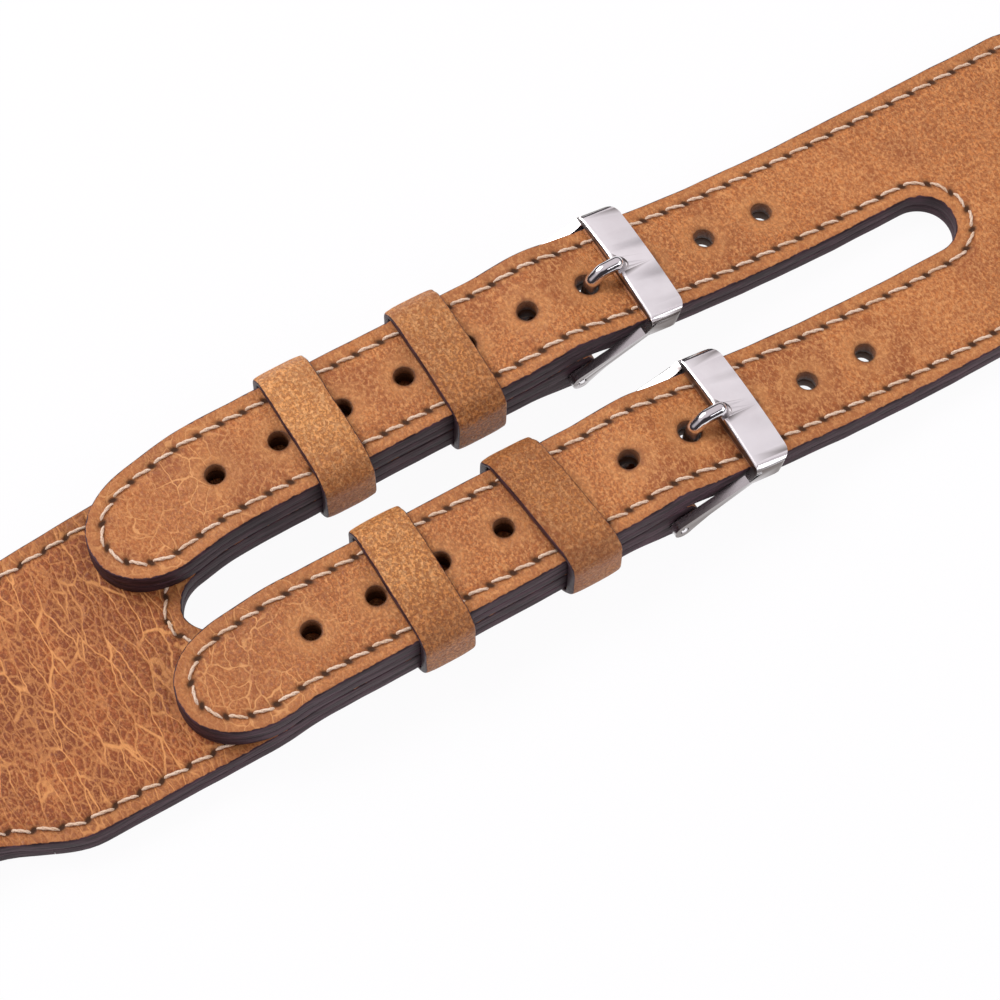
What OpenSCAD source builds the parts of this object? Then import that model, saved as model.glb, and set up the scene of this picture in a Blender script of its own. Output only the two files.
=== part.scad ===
// Twin strap leather band: two slotted leather halves joined by two pin buckles.
// Millimetres. X runs along the band towards the long half's watch end, Y across
// it and Z up. The band lies flat and buckled, with its underside on Z = 0.

/* [Straps] */
// Width of each of the two straps
strap_w = 12; // [8:0.5:16]
// Clear slot between the two straps
strap_gap = 6.65; // [5:0.05:12]
// Thickness of the face leather
face_t = 1.6; // [1.2:0.1:2.4]
// Thickness of the lining leather
lining_t = 1.4; // [0.8:0.1:2]
// Space left between leather faces that lie on each other
lay_gap = 0.05; // [0.02:0.01:0.2]
// Wall of the leather where it folds round a bar
fold_t = 1.3; // [0.9:0.1:1.8]
// Distance that a folded end runs back under the strap
fold_back = 9; // [6:0.5:14]

/* [Holes] */
// Number of holes in each tail
hole_count = 10; // [7:1:12]
// Distance between holes
hole_pitch = 6.85; // [6:0.05:9]
// Diameter of a hole
hole_d = 2.4; // [2.2:0.1:3]
// Hole that the tongue stands in, counted from the tip
buckled_hole = 7; // [6:1:7]

/* [Long half] */
// Tip of the tail to the watch bar
long_len = 120.5; // [105:0.5:140]
// Tip of the tail to its first hole
tip_to_hole = 13.7; // [10:0.1:20]
// Length of the rounded tip
tip_round = 7.5; // [5:0.5:10]
// Last hole to the centre of the slot's round end
long_slot_past = 13.3; // [8:0.1:25]

/* [Short half] */
// Buckle bar to watch bar
short_len = 75; // [65:0.5:90]
// Buckle bar to the centre of the slot's round end
short_slot = 41.9; // [34:0.1:48]
// Height of the legs over the table where the keepers pass under them
leg_rise = 1.3; // [1.2:0.1:2]
// Width of the cut in a leg's fold for the tongue
tongue_cut_w = 2.9; // [2.6:0.1:4]

/* [Watch end] */
// Width between the watch's lugs
lug_w = 24; // [18:1:26]
// Play of the leather between the lugs
lug_play = 0.4; // [0.2:0.1:1]
// Length of the taper to the watch end
taper_len = 11; // [6:0.5:20]
// Length of the straight end past the taper
taper_end = 2.5; // [1:0.5:6]
// Radius of the watch bar's tube
lug_bar_r = 0.9; // [0.75:0.05:1.25]
// Radius of the watch bar's pivots
lug_pivot_r = 0.45; // [0.35:0.05:0.6]
// Length of a watch bar's pivot past its flange
lug_pivot_len = 1.1; // [0.8:0.1:1.6]
// Radius of the neck between a watch bar's collar and flange
lug_neck_r = 0.28; // [0.2:0.02:0.29]
// Radius of a watch bar's flange
lug_flange_r = 0.65; // [0.62:0.01:0.8]
// Thickness of a watch bar's flange
lug_flange_t = 0.25; // [0.15:0.05:0.5]
// Travel of a watch bar's tip into its tube
lug_travel = 1.15; // [1:0.05:2]

/* [Keepers] */
// Thickness of the keeper leather
keeper_t = 1.2; // [0.8:0.1:1.6]
// Width of a keeper along the strap
keeper_w = 5.4; // [4:0.1:8]
// Side play of a keeper round the straps
keeper_side = 0.25; // [0.1:0.05:0.6]
// Play of a keeper over the tail
keeper_top = 0.2; // [0.1:0.05:0.6]
// Outer corner radius of a keeper
keeper_corner = 1.7; // [1.2:0.1:2.2]
// Buckle bar to the middle of the fixed keeper
fixed_keeper_back = 11.3; // [9:0.1:16]
// Fixed keeper to the sliding keeper, middle to middle
sliding_keeper_back = 14.5; // [8:0.1:20]

/* [Buckle] */
// Hole centre to the buckle bar behind it
bar_behind_hole = 4.7; // [4.5:0.1:5.5]
// Height of the buckle bar's axis
bar_z = 2.6; // [2.5:0.05:3]
// Radius of the buckle bar's tube
bar_r = 0.85; // [0.7:0.05:1]
// Radius of the buckle bar's pivots
pivot_r = 0.4; // [0.3:0.05:0.5]
// Play between the straps and the frame's arms
frame_side = 0.2; // [0.15:0.05:0.6]
// Thickness of an arm
arm_t = 0.9; // [0.7:0.1:1.6]
// Height of an arm where it meets the plate
arm_h = 1.3; // [1:0.1:2]
// Radius of the round lug at the arm's end
lug_r = 1.7; // [1.4:0.1:2]
// Bar to the plate's inner edge
plate_reach = 7.7; // [7.5:0.1:9]
// Width of the plate along the strap
plate_w = 4.1; // [3:0.1:6]
// Thickness of the plate at its middle
plate_t = 1.35; // [1.1:0.05:2]
// Fall of the plate's crown towards its ends
plate_crown = 0.5; // [0.2:0.1:0.8]
// Rounding where the plate turns down into its side walls
plate_round = 0.9; // [0.5:0.1:1]
// Corner radius of the plate's outer edge, seen from above
plate_corner = 1.5; // [0.8:0.1:2]
// Depth of a side wall below the plate's underside
wall_drop = 1.2; // [0.8:0.1:2]
// Space between the plate and the tail below it
plate_gap = 0.2; // [0.1:0.05:0.5]
// Radius of the notch that takes the tongue's tip
notch_r = 0.95; // [0.8:0.05:1.2]
// Depth of the notch
notch_depth = 0.4; // [0.2:0.05:0.6]

/* [Tongue] */
// Diameter of the tongue
tongue_d = 1.4; // [1.2:0.1:1.6]
// Width of the tongue's eye on the bar
eye_w = 2.2; // [1.8:0.1:2.4]
// Wall of the tongue's eye
eye_t = 0.75; // [0.5:0.05:0.8]
// Running clearance of the eye on the bar
eye_gap = 0.06; // [0.03:0.01:0.1]
// Lean of the tongue's upright from vertical
tongue_lean = 8; // [4:1:10]
// Radius of the tongue's bends
tongue_bend = 1; // [0.9:0.05:1.3]
// Reach of the tongue's tip over the plate
tongue_over = 1; // [0.6:0.1:1.4]

/* [Spring bars] */
// Wall of a bar's tube
tube_wall = 0.2; // [0.15:0.01:0.24]
// Thickness of the rolled lip at a tube's end
lip_t = 0.3; // [0.2:0.05:0.5]
// Length of a tip's collar inside its tube
collar_len = 0.9; // [0.6:0.1:1.4]
// Sliding clearance of the tips and the spring in a tube
bar_play = 0.05; // [0.03:0.01:0.1]
// Play of a tube in its leather fold
fold_play = 0.1; // [0.05:0.05:0.3]
// End play of a buckle bar's tube between the arms
tube_end_play = 0.15; // [0.1:0.05:0.3]
// Diameter of the spring wire
wire_d = 0.2; // [0.12:0.02:0.24]
// Pitch of the spring's turns
spring_pitch = 0.8; // [0.7:0.05:1.2]

/* [Hidden] */
$fn = 48;

leather = [0.70, 0.45, 0.26];
lining_colour = [0.78, 0.60, 0.42];
steel = [0.78, 0.77, 0.78];
bright = [0.86, 0.86, 0.88];
spring_colour = [0.60, 0.62, 0.66];
eps = 0.01;

// Across the band: the middle of each strap and the width of the whole body
strap_y = (strap_w + strap_gap) / 2;
body_w = 2 * strap_w + strap_gap;
band_t = face_t + lining_t;

// Along the band, counted from the first hole of the tails
tip_u = -tip_to_hole;
tongue_u = (buckled_hole - 1) * hole_pitch;
bar_u = tongue_u - bar_behind_hole;
last_hole_u = (hole_count - 1) * hole_pitch;
long_slot_u = last_hole_u + long_slot_past;
short_slot_u = bar_u - short_slot;
long_lug_u = tip_u + long_len;
short_lug_u = bar_u - short_len;
fixed_u = bar_u - fixed_keeper_back;
sliding_u = fixed_u - sliding_keeper_back;
plate_u = bar_u + plate_reach;
lug_fold_r = lug_bar_r + fold_play + fold_t;
bar_fold_r = bar_r + fold_play + fold_t;
middle_u = (short_lug_u + long_lug_u) / 2;

// Heights of the leather's undersides as stations of [u, height, slope]
rise_start_u = short_slot_u - 2.6;
rise_end_u = sliding_u - keeper_w / 2 - 9;
keeper_end_u = fixed_u + keeper_w / 2 + 3;
leg_top = leg_rise + band_t + lay_gap;
fold_top = bar_z + bar_fold_r + 2 * lay_gap;
table_u = bar_u + 32.5;
short_under = [
    [short_lug_u, 0, 0], [rise_start_u, 0, 0], [rise_end_u, leg_rise, 0],
    [keeper_end_u, leg_rise, 0], [bar_u, bar_z - bar_fold_r, 0],
];
short_upper = [
    [short_lug_u, 2 * lug_fold_r, 0], [short_lug_u + 7, band_t, 0], [rise_start_u, band_t, 0],
    [rise_end_u, leg_rise + band_t, 0], [keeper_end_u, leg_rise + band_t, 0],
    [bar_u, bar_z + bar_fold_r, 0],
];
long_under = [
    [tip_u, band_t + lay_gap, 0], [rise_start_u, band_t + lay_gap, 0], [rise_end_u, leg_top, 0],
    [keeper_end_u, leg_top, 0], [bar_u, fold_top, 0],
    [tongue_u, fold_top - 1.15, -0.24], [bar_u + 18.4, 0.22 * fold_top, -0.16],
    [bar_u + 25.3, 0.08 * fold_top, -0.08], [table_u, 0, 0], [long_lug_u, 0, 0],
];
long_rise = [
    [tip_u, band_t, 0], [long_lug_u - 7, band_t, 0], [long_lug_u, 2 * lug_fold_r, 0],
];

// Buckle sizes that follow from the strap and the bar
frame_in = strap_w / 2 + frame_side;
frame_out = frame_in + arm_t;
plate_z = height(long_under, plate_u) + band_t + plate_gap;
plate_tilt = atan((height(long_under, plate_u) - height(long_under, plate_u + plate_w)) / plate_w);
tube_len = 2 * (frame_in - tube_end_play);
lug_tube_len = lug_w - lug_play - 2 * (lug_travel + lug_flange_t - bar_play);

// Height at u on a curve of cubic pieces through stations of [u, height, slope]
function piece_of(stations, u, i = 0) =
    i >= len(stations) - 2 || u <= stations[i + 1][0] ? i : piece_of(stations, u, i + 1);
function cubic(a, b, run, t) =
    a[1] * (1 - 3 * t * t + 2 * t * t * t) + b[1] * (3 * t * t - 2 * t * t * t)
    + a[2] * run * t * (1 - t) * (1 - t) - b[2] * run * t * t * (1 - t);
function height(stations, u) =
    let (
        i = piece_of(stations, u),
        a = stations[i],
        b = stations[i + 1],
        t = min(1, max(0, (u - a[0]) / (b[0] - a[0])))
    )
    cubic(a, b, b[0] - a[0], t);

// Points of u from a to b: every millimetre or so
function steps(a, b, step = 1.25) = let (n = max(2, ceil((b - a) / step))) [for (i = [0:n]) a + (b - a) * i / n];
short_steps = steps(short_lug_u + fold_back, bar_u - fold_back);
long_steps = steps(tip_u, long_lug_u - fold_back);
function backwards(list) = [for (i = [len(list) - 1:-1:0]) list[i]];

// Eased half width of a body: full width, then a taper to the watch end
function ease(t) = t * t * (3 - 2 * t);
function half_at(d) =
    let (t = min(1, max(0, (d - taper_end) / taper_len)))
    (lug_w - lug_play) / 2 + ((body_w - lug_w + lug_play) / 2) * ease(t);

// Lays a side view, drawn as [u, z], across the band
module side_view(width) {
    rotate([90, 0, 0])
        linear_extrude(height = width, center = true)
            children();
}

// A round rod across the band
module round_bar(u, z, r, length) {
    translate([u, 0, z])
        rotate([90, 0, 0])
            cylinder(h = length, r = r, center = true);
}

// Side view of a layer between two heights above a half's underside
module layer(us, under, low, high) {
    polygon(concat(
        [for (u = us) [u, height(under, u) + low]],
        backwards([for (u = us) [u, height(under, u) + high]])
    ));
}

// Outline of a wide body from its watch bar, which lies at 0, inwards along +X
module body_outline(length) {
    ds = concat([-lug_fold_r, taper_end], steps(taper_end + 0.8, taper_end + taper_len, 0.8), [length]);
    polygon(concat(
        [for (d = ds) [d, half_at(d)]],
        backwards([for (d = ds) [d, -half_at(d)]])
    ));
}

// Outline of one tail from its rounded tip at u = tip_u to u = end
module tail_outline(end) {
    angles = [for (i = [0:10]) 90 * i / 10];
    edge = [for (a = angles) [tip_u + tip_round * (1 - cos(a)), strap_w / 2 * pow(sin(a), 0.92)]];
    polygon(concat(
        edge,
        [[end, strap_w / 2], [end, -strap_w / 2]],
        backwards([for (p = edge) if (p[1] > eps) [p[0], -p[1]]])
    ));
}

module short_plan() {
    difference() {
        from_above()
            translate([short_lug_u, 0])
                body_outline(bar_u + bar_fold_r + 1 - short_lug_u);
        from_above(1)
            translate([short_slot_u, 0])
                circle(d = strap_gap);
        from_above(1)
            translate([short_slot_u, -strap_gap / 2])
                square([short_slot + bar_fold_r + 2, strap_gap]);
        // Cuts for the tongues' eyes
        for (side = [-1, 1])
            from_above(1)
                translate([bar_u - bar_fold_r - 0.4, side * strap_y - tongue_cut_w / 2])
                    square([2 * bar_fold_r + 2, tongue_cut_w]);
    }
}

module long_plan() {
    difference() {
        union() {
            from_above()
                translate([long_lug_u, 0])
                    mirror([1, 0])
                        body_outline(long_lug_u - long_slot_u);
            for (side = [-1, 1])
                from_above()
                    translate([0, side * strap_y])
                        tail_outline(long_slot_u + 3);
        }
        from_above(1)
            translate([long_slot_u, 0])
                circle(d = strap_gap);
        from_above(1)
            translate([long_slot_u - 4, -strap_gap / 2])
                square([4, strap_gap]);
    }
}

// Fills an outline seen from above to more than the band's height
module from_above(more = 0) {
    translate([0, 0, -1 - more])
        linear_extrude(height = 12 + 2 * more)
            children();
}

module short_top_leather() {
    color(leather)
    intersection() {
        difference() {
            union() {
                side_view(body_w + 2)
                    polygon(concat(
                        [for (u = steps(short_lug_u, bar_u)) [u, height(short_upper, u)]],
                        backwards([for (u = steps(short_lug_u, bar_u)) [u, height(short_under, u)]])
                    ));
                round_bar(short_lug_u, lug_fold_r, lug_fold_r, body_w + 2);
                round_bar(bar_u, bar_z, bar_fold_r, body_w + 2);
            }
            // The lining lies between the ends that fold back
            side_view(body_w + 4)
                layer(short_steps, short_under, -1, lining_t);
            round_bar(short_lug_u, lug_fold_r, lug_bar_r + fold_play, body_w + 4);
            round_bar(bar_u, bar_z, bar_r + fold_play, body_w + 4);
        }
        short_plan();
    }
}

module short_lining() {
    color(lining_colour)
    intersection() {
        side_view(body_w + 2)
            layer(short_steps, short_under, 0, lining_t);
        short_plan();
    }
}

module tail_holes() {
    for (side = [-1, 1])
        for (i = [0:hole_count - 1])
            translate([i * hole_pitch, side * strap_y, -1])
                cylinder(h = 12, d = hole_d);
}

module long_top_leather() {
    color(leather)
    difference() {
        intersection() {
            difference() {
                union() {
                    side_view(body_w + 2)
                        polygon(concat(
                            [for (u = steps(tip_u, long_lug_u)) [u, height(long_under, u) + height(long_rise, u)]],
                            backwards([for (u = steps(tip_u, long_lug_u)) [u, height(long_under, u)]])
                        ));
                    round_bar(long_lug_u, lug_fold_r, lug_fold_r, body_w + 2);
                }
                side_view(body_w + 4)
                    layer(long_steps, long_under, -1, lining_t);
                round_bar(long_lug_u, lug_fold_r, lug_bar_r + fold_play, body_w + 4);
            }
            long_plan();
        }
        tail_holes();
    }
}

module long_lining() {
    color(lining_colour)
    difference() {
        intersection() {
            side_view(body_w + 2)
                layer(long_steps, long_under, 0, lining_t);
            long_plan();
        }
        tail_holes();
    }
}

// A rectangle with round corners, centred across and standing on 0
module round_box(width, tall, r) {
    translate([-width / 2, r])
        square([width, tall - 2 * r]);
    translate([-width / 2 + r, 0])
        square([width - 2 * r, tall]);
    for (side = [-1, 1])
        for (z = [r, tall - r])
            translate([side * (width / 2 - r), z])
                circle(r = r);
}

// A closed loop of leather round a leg and the tail that lies on it
module keeper(u, side) {
    inside_w = strap_w + 2 * keeper_side;
    inside_h = 2 * band_t + 2 * lay_gap + keeper_top;
    color(leather)
    translate([u, side * strap_y, leg_rise - lay_gap])
        rotate([90, 0, 90])
            linear_extrude(height = keeper_w, center = true)
                difference() {
                    translate([0, -keeper_t])
                        round_box(inside_w + 2 * keeper_t, inside_h + 2 * keeper_t, keeper_corner);
                    round_box(inside_w, inside_h, max(0.2, keeper_corner - keeper_t));
                }
}

// Places what is drawn at the buckle bar of one strap
module at_bar(side) {
    translate([bar_u, side * strap_y, bar_z])
        children();
}

// Front view of the plate: crowned, with round shoulders and side walls
module plate_front(low) {
    shoulder = frame_out - plate_round;
    drop = plate_crown * pow(shoulder / frame_out, 2);
    angles = [for (i = [0:6]) 90 * i / 6];
    crown = [for (i = [-8:8]) let (y = shoulder * i / 8) [y, plate_t - plate_crown * pow(y / frame_out, 2)]];
    bend = [for (a = angles) [shoulder + plate_round * sin(a), plate_t - drop - plate_round * (1 - cos(a))]];
    polygon(concat(
        crown,
        bend,
        [[frame_out, low], [-frame_out, low]],
        backwards([for (p = bend) [-p[0], p[1]]])
    ));
}

module plate_plan() {
    straight = [plate_w - plate_corner, frame_out - plate_corner];
    corner = [for (i = [0:6]) straight + plate_corner * [sin(15 * i), cos(15 * i)]];
    polygon(concat(
        [[0, frame_out]],
        corner,
        backwards([for (p = corner) [p[0], -p[1]]]),
        [[0, -frame_out]]
    ));
}

module buckle_frame(side) {
    local_z = plate_z - bar_z;
    wall_low = local_z - wall_drop;
    color(steel)
    at_bar(side)
    difference() {
        union() {
            // The crowned plate and its side walls lie along the tail's fall
            translate([plate_reach, 0, local_z])
                rotate([0, plate_tilt, 0])
                    difference() {
                        intersection() {
                            translate([0, 0, 0])
                                rotate([90, 0, 90])
                                    linear_extrude(height = plate_w)
                                        plate_front(-wall_drop);
                            // Seen from above, with both outer corners rounded
                            translate([0, 0, -wall_drop - 1])
                                linear_extrude(height = plate_t + wall_drop + 2)
                                    plate_plan();
                            // Side view with the walls' lower corner cut away
                            rotate([90, 0, 0])
                                linear_extrude(height = 2 * frame_out + 2, center = true)
                                    polygon([
                                        [0, -wall_drop], [plate_w - 1, -wall_drop], [plate_w - 0.2, 0],
                                        [plate_w, 0.35], [plate_w, plate_t - 0.3], [plate_w - 0.3, plate_t + 1],
                                        [0.15, plate_t + 1], [0, plate_t - 0.2],
                                    ]);
                        }
                        // Room for the tail between the side walls
                        translate([-1, -frame_in, -wall_drop - 1])
                            cube([plate_w + 2, 2 * frame_in, wall_drop + 1]);
                    }
            // Two slender arms run down to round lugs
            for (end = [-1, 1])
                translate([0, end * (frame_in + arm_t / 2), 0])
                    side_view(arm_t)
                        union() {
                            circle(r = lug_r);
                            polygon([
                                [-lug_r * sin(12), lug_r * cos(12)],
                                [plate_reach - 0.5, wall_low + arm_h + 0.25],
                                [plate_reach + 0.6, local_z + 0.3],
                                [plate_reach + 0.9, wall_low + 0.5],
                                [plate_reach - 0.2, wall_low + 0.1],
                                [lug_r + 1, -lug_r * 0.1 + 0.35],
                                [lug_r * cos(40), -lug_r * sin(40)],
                            ]);
                        }
        }
        // Bores for the bar's pivots
        rotate([90, 0, 0])
            cylinder(h = 2 * frame_out + 2, r = pivot_r + bar_play, center = true);
        // The notch that the tongue's tip rests in
        translate([plate_reach, 0, local_z])
            rotate([0, plate_tilt, 0])
                translate([0.35, 0, plate_t - notch_depth])
                    cylinder(h = 3, r = notch_r);
    }
}

// Tongue, drawn in its own plane as straight wire and round bends
function polar(r, a) = [r * cos(a), r * sin(a)];

// A straight run of wire between two points of the side view. Drawing leaves it a
// hair thinner than the bends, and it runs a little way into them.
module wire(p, q) {
    d = q - p;
    into = 0.08;
    translate([p[0], 0, p[1]])
        rotate([0, 90 - atan2(d[1], d[0]), 0])
            translate([0, 0, -into])
                cylinder(h = norm(d) + 2 * into, d = tongue_d - 0.02);
}

// A bend of wire: centre c, from angle a through turn
module wire_bend(c, a, turn) {
    translate([c[0], 0, c[1]])
        rotate([90, 0, 0])
            rotate([0, 0, a])
                rotate_extrude(angle = turn)
                    translate([tongue_bend, 0])
                        circle(d = tongue_d);
}

module buckle_tongue(side) {
    lean = tongue_lean;
    eye_r = bar_r + eye_gap + eye_t;
    hole_top = height(long_under, tongue_u) + band_t - bar_z;
    // The upright stands against the hole's far wall at the tail's upper face
    top_x = bar_behind_hole + hole_d / 2 - 0.1 - tongue_d / 2 / cos(lean);
    tip_z = plate_z - bar_z + plate_t - notch_depth + 0.05 + tongue_d / 2;
    // Lower bend: from a level shank to the upright
    shank_z = -0.4;
    low_c_z = shank_z + tongue_bend;
    along = function (z) top_x + (z - hole_top) * tan(lean);
    low_c = [along(low_c_z) - tongue_bend / cos(lean), low_c_z];
    low_end = low_c + polar(tongue_bend, -lean);
    // Upper bend: from the upright to a level tip
    high_c_z = tip_z - tongue_bend;
    high_c = [along(high_c_z) + tongue_bend / cos(lean), high_c_z];
    high_start = high_c + polar(tongue_bend, 180 - lean);
    tip_x = plate_reach + tongue_over;
    color(bright)
    at_bar(side)
    difference() {
        union() {
            rotate([90, 0, 0])
                cylinder(h = eye_w, r = eye_r, center = true);
            wire([0.9 * eye_r, shank_z], [low_c[0], shank_z]);
            wire_bend(low_c, -90, 90 - lean);
            wire(low_end, high_start);
            wire_bend(high_c, 90, 90 - lean);
            wire([high_c[0], tip_z], [tip_x, tip_z]);
        }
        rotate([90, 0, 0])
            cylinder(h = eye_w + 2, r = bar_r + eye_gap, center = true);
    }
}

// Spring bar pieces, drawn along Y with the bar's middle at the origin
module bar_tube(length, r, neck) {
    rotate([90, 0, 0])
        difference() {
            cylinder(h = length, r = r, center = true);
            cylinder(h = length - 2 * lip_t, r = r - tube_wall, center = true);
            cylinder(h = length + 1, r = neck + bar_play, center = true);
        }
}

// A turned tip. Its collar lies inside the tube, its neck passes the rolled lip, and its
// pivot stands past the neck, with the end broken by a cone.
module bar_tip(length, r, neck, neck_len, pivot, out, end) {
    chamfer = 0.15;
    rotate([end * -90, 0, 0])
        translate([0, 0, length / 2 - lip_t - collar_len - bar_play]) {
            cylinder(h = collar_len, r = r - tube_wall - bar_play);
            cylinder(h = collar_len + lip_t + bar_play + neck_len, r = neck);
            translate([0, 0, collar_len + lip_t + bar_play + neck_len]) {
                cylinder(h = out - chamfer, r = pivot);
                translate([0, 0, out - chamfer])
                    cylinder(h = chamfer, r1 = pivot, r2 = pivot - 0.12);
                children();
            }
        }
}

// One unbroken coil of round wire between the collars
module bar_spring(length, r) {
    room = length - 2 * (lip_t + collar_len + 2 * bar_play) - wire_d;
    turns = floor(room / spring_pitch);
    coil_r = r - tube_wall - 2 * bar_play - wire_d / 2;
    rings = turns * 8;
    sides = 6;
    points = [
        for (i = [0:rings])
            for (j = [0:sides - 1])
                let (
                    a = 45 * i,
                    b = 360 * j / sides,
                    rr = coil_r + wire_d / 2 * cos(b),
                    y = room * (i / rings - 0.5) + wire_d / 2 * sin(b)
                )
                [rr * cos(a), y, -rr * sin(a)]
    ];
    faces = concat(
        [[for (j = [0:sides - 1]) j]],
        [
            for (i = [0:rings - 1])
                for (j = [0:sides - 1])
                    for (half = [0, 1])
                        let (
                            a = i * sides + j,
                            b = i * sides + (j + 1) % sides,
                            c = a + sides,
                            d = b + sides
                        )
                        half == 0 ? [a, c, b] : [b, c, d]
        ],
        [[for (j = [sides - 1:-1:0]) rings * sides + j]]
    );
    polyhedron(points = points, faces = faces, convexity = 10);
}

module buckle_bar_tube(side) {
    color(bright)
    at_bar(side)
        bar_tube(tube_len, bar_r, pivot_r);
}

module buckle_bar_spring(side) {
    color(spring_colour)
    at_bar(side)
        bar_spring(tube_len, bar_r);
}

module buckle_bar_tip(side, end) {
    color(bright)
    at_bar(side)
        bar_tip(tube_len, bar_r, pivot_r, tube_end_play, pivot_r, arm_t, end);
}

// Places what is drawn at a watch bar
module at_lug(u) {
    translate([u, 0, lug_fold_r])
        children();
}

module lug_bar_tube(u) {
    color(bright)
    at_lug(u)
        bar_tube(lug_tube_len, lug_bar_r, lug_neck_r);
}

module lug_bar_spring(u) {
    color(spring_colour)
    at_lug(u)
        bar_spring(lug_tube_len, lug_bar_r);
}

module lug_bar_tip(u, end) {
    color(bright)
    at_lug(u)
        bar_tip(lug_tube_len, lug_bar_r, lug_neck_r, lug_travel + lug_flange_t, lug_pivot_r,
            lug_pivot_len, end)
            translate([0, 0, -lug_flange_t])
                cylinder(h = lug_flange_t, r = lug_flange_r);
}

module far_fixed_keeper() keeper(fixed_u, 1);
module near_fixed_keeper() keeper(fixed_u, -1);
module far_sliding_keeper() keeper(sliding_u, 1);
module near_sliding_keeper() keeper(sliding_u, -1);
module far_buckle_frame() buckle_frame(1);
module near_buckle_frame() buckle_frame(-1);
module far_buckle_tongue() buckle_tongue(1);
module near_buckle_tongue() buckle_tongue(-1);
module far_bar_tube() buckle_bar_tube(1);
module near_bar_tube() buckle_bar_tube(-1);
module far_bar_spring() buckle_bar_spring(1);
module near_bar_spring() buckle_bar_spring(-1);
module far_bar_outer_tip() buckle_bar_tip(1, 1);
module far_bar_inner_tip() buckle_bar_tip(1, -1);
module near_bar_outer_tip() buckle_bar_tip(-1, -1);
module near_bar_inner_tip() buckle_bar_tip(-1, 1);
module short_lug_bar_tube() lug_bar_tube(short_lug_u);
module short_lug_bar_spring() lug_bar_spring(short_lug_u);
module short_lug_bar_far_tip() lug_bar_tip(short_lug_u, 1);
module short_lug_bar_near_tip() lug_bar_tip(short_lug_u, -1);
module long_lug_bar_tube() lug_bar_tube(long_lug_u);
module long_lug_bar_spring() lug_bar_spring(long_lug_u);
module long_lug_bar_far_tip() lug_bar_tip(long_lug_u, 1);
module long_lug_bar_near_tip() lug_bar_tip(long_lug_u, -1);

translate([-middle_u, 0, 0]) {
    short_top_leather();
    short_lining();
    long_top_leather();
    long_lining();
    far_fixed_keeper();
    near_fixed_keeper();
    far_sliding_keeper();
    near_sliding_keeper();
    far_buckle_frame();
    near_buckle_frame();
    far_buckle_tongue();
    near_buckle_tongue();
    far_bar_tube();
    near_bar_tube();
    far_bar_spring();
    near_bar_spring();
    far_bar_outer_tip();
    far_bar_inner_tip();
    near_bar_outer_tip();
    near_bar_inner_tip();
    short_lug_bar_tube();
    short_lug_bar_spring();
    short_lug_bar_far_tip();
    short_lug_bar_near_tip();
    long_lug_bar_tube();
    long_lug_bar_spring();
    long_lug_bar_far_tip();
    long_lug_bar_near_tip();
}
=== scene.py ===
import math
import random

import bmesh
import bpy
import numpy as np
from mathutils import Matrix, Vector, noise


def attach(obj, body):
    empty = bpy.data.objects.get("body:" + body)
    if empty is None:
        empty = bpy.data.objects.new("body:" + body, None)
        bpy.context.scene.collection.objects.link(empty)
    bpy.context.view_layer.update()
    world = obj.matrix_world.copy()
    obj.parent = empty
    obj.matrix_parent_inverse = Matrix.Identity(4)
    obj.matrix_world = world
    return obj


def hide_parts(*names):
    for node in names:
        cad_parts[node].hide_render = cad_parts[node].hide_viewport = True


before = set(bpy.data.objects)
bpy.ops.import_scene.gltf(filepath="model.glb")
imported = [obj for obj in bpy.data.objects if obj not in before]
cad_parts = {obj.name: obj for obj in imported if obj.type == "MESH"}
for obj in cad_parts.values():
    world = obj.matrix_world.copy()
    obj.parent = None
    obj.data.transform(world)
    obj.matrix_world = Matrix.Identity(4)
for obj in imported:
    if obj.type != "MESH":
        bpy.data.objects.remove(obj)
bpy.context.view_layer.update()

# The camera stands above the band's near left, where the photograph was taken:
# a long lens, turned a degree about its own axis.
mm = 0.001
azimuth = math.radians(-31.76)
elevation = math.radians(63.87)
towards_camera = Vector((
    math.sin(azimuth) * math.cos(elevation),
    -math.cos(azimuth) * math.cos(elevation),
    math.sin(elevation),
))
camera_distance = 285
aim = Vector((-10.51, -3.63, 0)) * mm
level = (-towards_camera).cross(Vector((0, 0, 1))).normalized()
upright = level.cross(-towards_camera)
turn = math.radians(1.15)
across = level * math.cos(turn) + upright * math.sin(turn)
upwards = upright * math.cos(turn) - level * math.sin(turn)


def add_to_scene(name, data):
    made = bpy.data.objects.new(name, data)
    bpy.context.scene.collection.objects.link(made)
    return made


lens = bpy.data.cameras.new("camera")
lens.sensor_fit = "HORIZONTAL"
lens.sensor_width = 36
lens.lens = 106.4
lens.clip_start = 0.01
camera = add_to_scene("camera", lens)
axes = Matrix((across, upwards, towards_camera)).transposed()
camera.matrix_world = Matrix.Translation(aim + towards_camera * camera_distance * mm) @ axes.to_4x4()
bpy.context.scene.camera = camera
bpy.context.scene.view_settings.view_transform = "Standard"


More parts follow.
